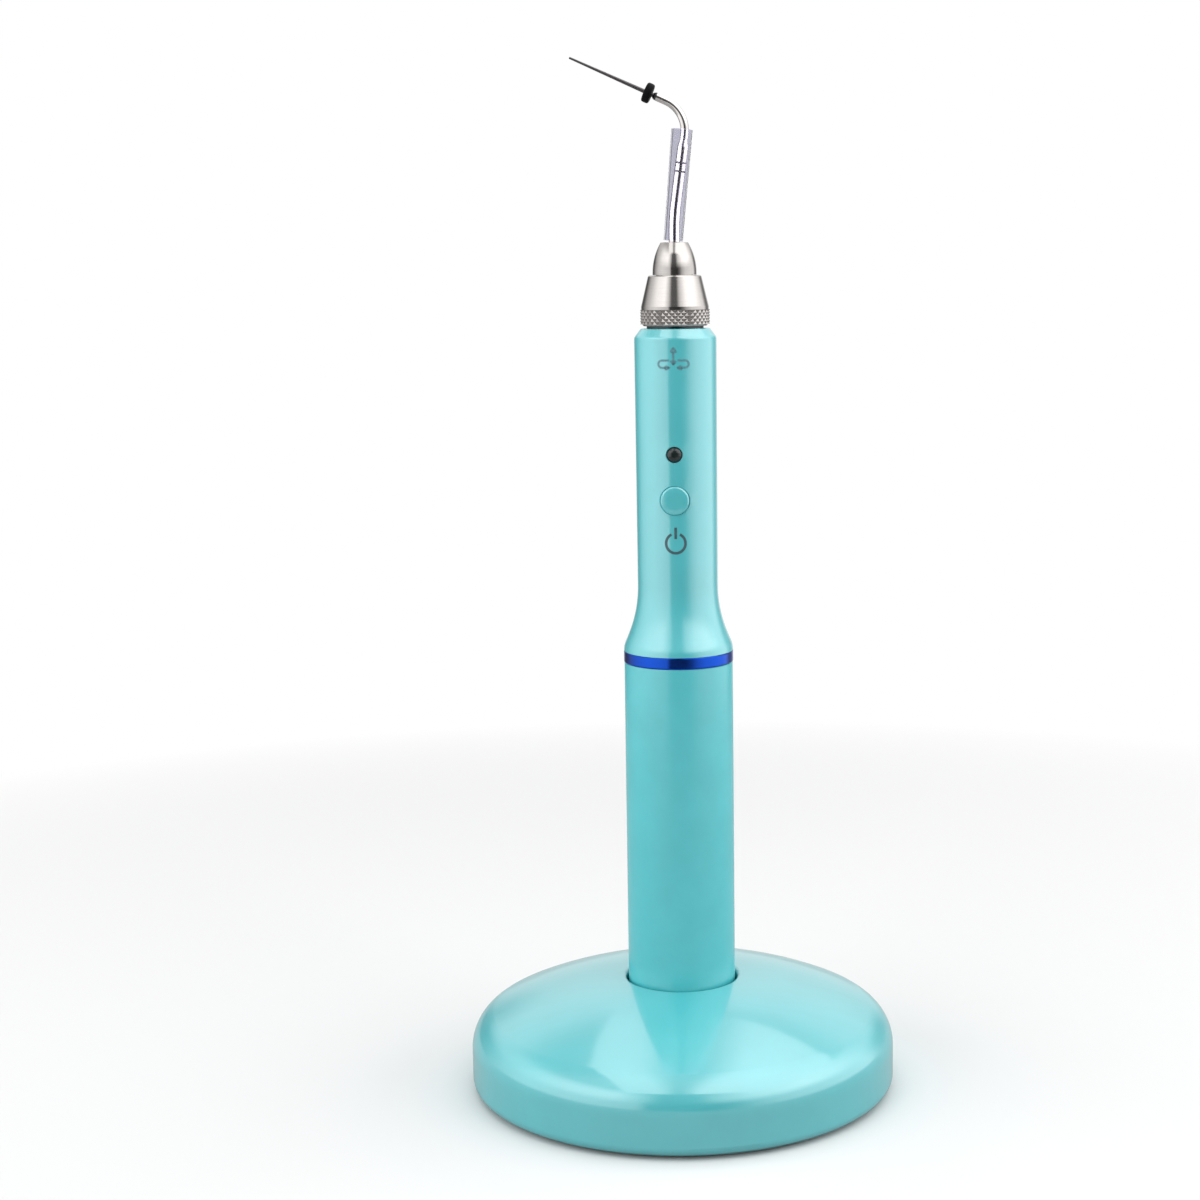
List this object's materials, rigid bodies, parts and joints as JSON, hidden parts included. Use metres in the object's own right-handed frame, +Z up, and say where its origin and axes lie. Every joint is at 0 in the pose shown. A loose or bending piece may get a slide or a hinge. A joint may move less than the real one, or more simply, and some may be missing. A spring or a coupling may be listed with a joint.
{
  "type": "cordless endodontic plugger pen in a charging base",
  "caption": "Cordless heated dental plugger pen with a bent needle tip in a steel chuck, standing in a round domed charging base",
  "frame": {"origin": "middle of the base's underside, on the surface that it stands on", "axes": "+Z up along the pen; the button and indicator face -Y; the needle bends towards -X; the power inlet is at +Y"},
  "size_m": [0.0846, 0.0846, 0.2023],
  "materials": {
    "mint_gloss": "glossy mint-turquoise moulded ABS",
    "mint_satin": "satin mint-turquoise moulding, slightly deeper than the glossy parts",
    "dark_plastic": "plain moulded black plastic",
    "steel_screw": "plated steel",
    "spring_steel": "bright drawn wire",
    "foot_rubber": "matt black rubber",
    "ballast_steel": "zinc-plated steel",
    "circuit_board": "green solder mask",
    "gold_contact": "gold-plated brass",
    "wire_insulation": "soft insulated lead",
    "cell_steel": "nickel-plated steel",
    "cell_wrap": "heat-shrink film",
    "blue_anodised": "bright deep-blue anodised, turned",
    "plain_aluminium": "turned aluminium",
    "switch_plunger": "plain ivory plastic",
    "smoked_lens": "smoked translucent dome",
    "led_chip": "pale LED package",
    "bush_brass": "turned brass",
    "chuck_steel": "turned and satin-polished stainless steel, diamond-knurled grip band",
    "insulator": "heat-resistant natural PEEK",
    "tip_steel": "bright drawn stainless tube",
    "needle_steel": "ground stainless, fine rings left by grinding",
    "bead_dark": "dark sealing bead",
    "bead_white": "white insulating bead",
    "core_copper": "enamelled copper wire",
    "stopper_silicone": "matt black silicone",
    "clear_sleeve": "clear, faintly violet silicone tube"
  },
  "bodies": {
    "base": {"base_shell": "mint_gloss", "socket_cup": "mint_satin", "base_plate": "dark_plastic", "base_screws": "steel_screw", "rubber_feet": "foot_rubber", "ballast_weight": "ballast_steel", "charge_board": "circuit_board", "charge_board_parts": "dark_plastic", "dc_jack": "dark_plastic", "dc_jack_pin": "gold_contact", "jack_leads": "wire_insulation", "pin_barrels": "gold_contact", "charge_spring_centre": "spring_steel", "charge_spring_side": "spring_steel"},
    "centre_pin": {"charge_pin_centre": "gold_contact"},
    "side_pin": {"charge_pin_side": "gold_contact"},
    "barrel": {"barrel_shell": "mint_satin", "contact_disc": "gold_contact", "contact_ring": "gold_contact", "battery_board": "circuit_board", "battery_spring": "spring_steel", "battery_cell": "cell_steel", "cell_wrap": "cell_wrap"},
    "ring": {"trim_ring": "blue_anodised"},
    "handle": {"handle_shell": "mint_gloss", "coupling_sleeve": "plain_aluminium", "coupling_seal": "foot_rubber", "contact_board": "circuit_board", "plus_contact": "gold_contact", "inner_frame": "dark_plastic", "main_board": "circuit_board", "board_screws": "steel_screw", "board_chips": "dark_plastic", "buzzer": "dark_plastic", "tact_switch": "dark_plastic", "indicator_lens": "smoked_lens", "status_led": "led_chip", "battery_leads": "wire_insulation", "heater_leads": "wire_insulation", "front_bush": "bush_brass", "pin_socket": "gold_contact", "socket_insulator": "insulator"},
    "button": {"power_button": "mint_gloss", "switch_plunger": "switch_plunger"},
    "chuck": {"chuck_spindle": "chuck_steel", "retaining_clip": "steel_screw", "drag_ring": "foot_rubber", "knurled_collar": "chuck_steel", "nose_cone": "chuck_steel", "collet": "chuck_steel"},
    "tip": {"tip_tube": "tip_steel", "core_wire": "core_copper", "plugger_needle": "needle_steel", "needle_bead": "bead_dark", "pin_insulator": "bead_white", "contact_pin": "tip_steel"},
    "stopper": {"depth_stopper": "stopper_silicone"},
    "sleeve": {"heat_sleeve": "clear_sleeve"}
  },
  "joints": [
    {"name": "pen_lift", "type": "slide", "parent": "base", "child": "barrel", "axis": [0, 0, 1], "range_m": [0, 0.025]},
    {"name": "ring_rise", "type": "slide", "parent": "barrel", "child": "ring", "axis": [0, 0, 1], "range_m": [0, 0.0045]},
    {"name": "handle_unscrew", "type": "hinge", "parent": "ring", "child": "handle", "pos_m": [0, 0, 0.0884], "axis": [0, 0, 1], "range_deg": [0, 1625]},
    {"name": "button_press", "type": "slide", "parent": "handle", "child": "button", "axis": [0, 1, 0], "range_m": [0, 0.0003], "stiffness_N_per_m": 500, "springref_m": -0.001},
    {"name": "chuck_turn", "type": "hinge", "parent": "handle", "child": "chuck", "pos_m": [0, 0, 0.1512], "axis": [0, 0, 1], "continuous": true},
    {"name": "tip_pull", "type": "slide", "parent": "chuck", "child": "tip", "axis": [0, 0, 1], "range_m": [0, 0.023]},
    {"name": "stopper_slide", "type": "slide", "parent": "tip", "child": "stopper", "axis": [-0.9109, 0, 0.4126], "range_m": [0, 0.0125]},
    {"name": "sleeve_slide", "type": "slide", "parent": "tip", "child": "sleeve", "axis": [0.0906, 0, 0.9959], "range_m": [0, 0.002]},
    {"name": "centre_pin_press", "type": "slide", "parent": "base", "child": "centre_pin", "axis": [0, 0, -1], "range_m": [0, 0.0008], "stiffness_N_per_m": 100, "springref_m": -0.001, "deforming": ["charge_spring_centre"]},
    {"name": "side_pin_press", "type": "slide", "parent": "base", "child": "side_pin", "axis": [0, 0, -1], "range_m": [0, 0.0008], "stiffness_N_per_m": 100, "springref_m": -0.001, "deforming": ["charge_spring_side"]}
  ],
  "couplings": [
    {"joint": "handle_unscrew", "follows": "ring_rise", "rad_per_m": 6283.2}
  ]
}
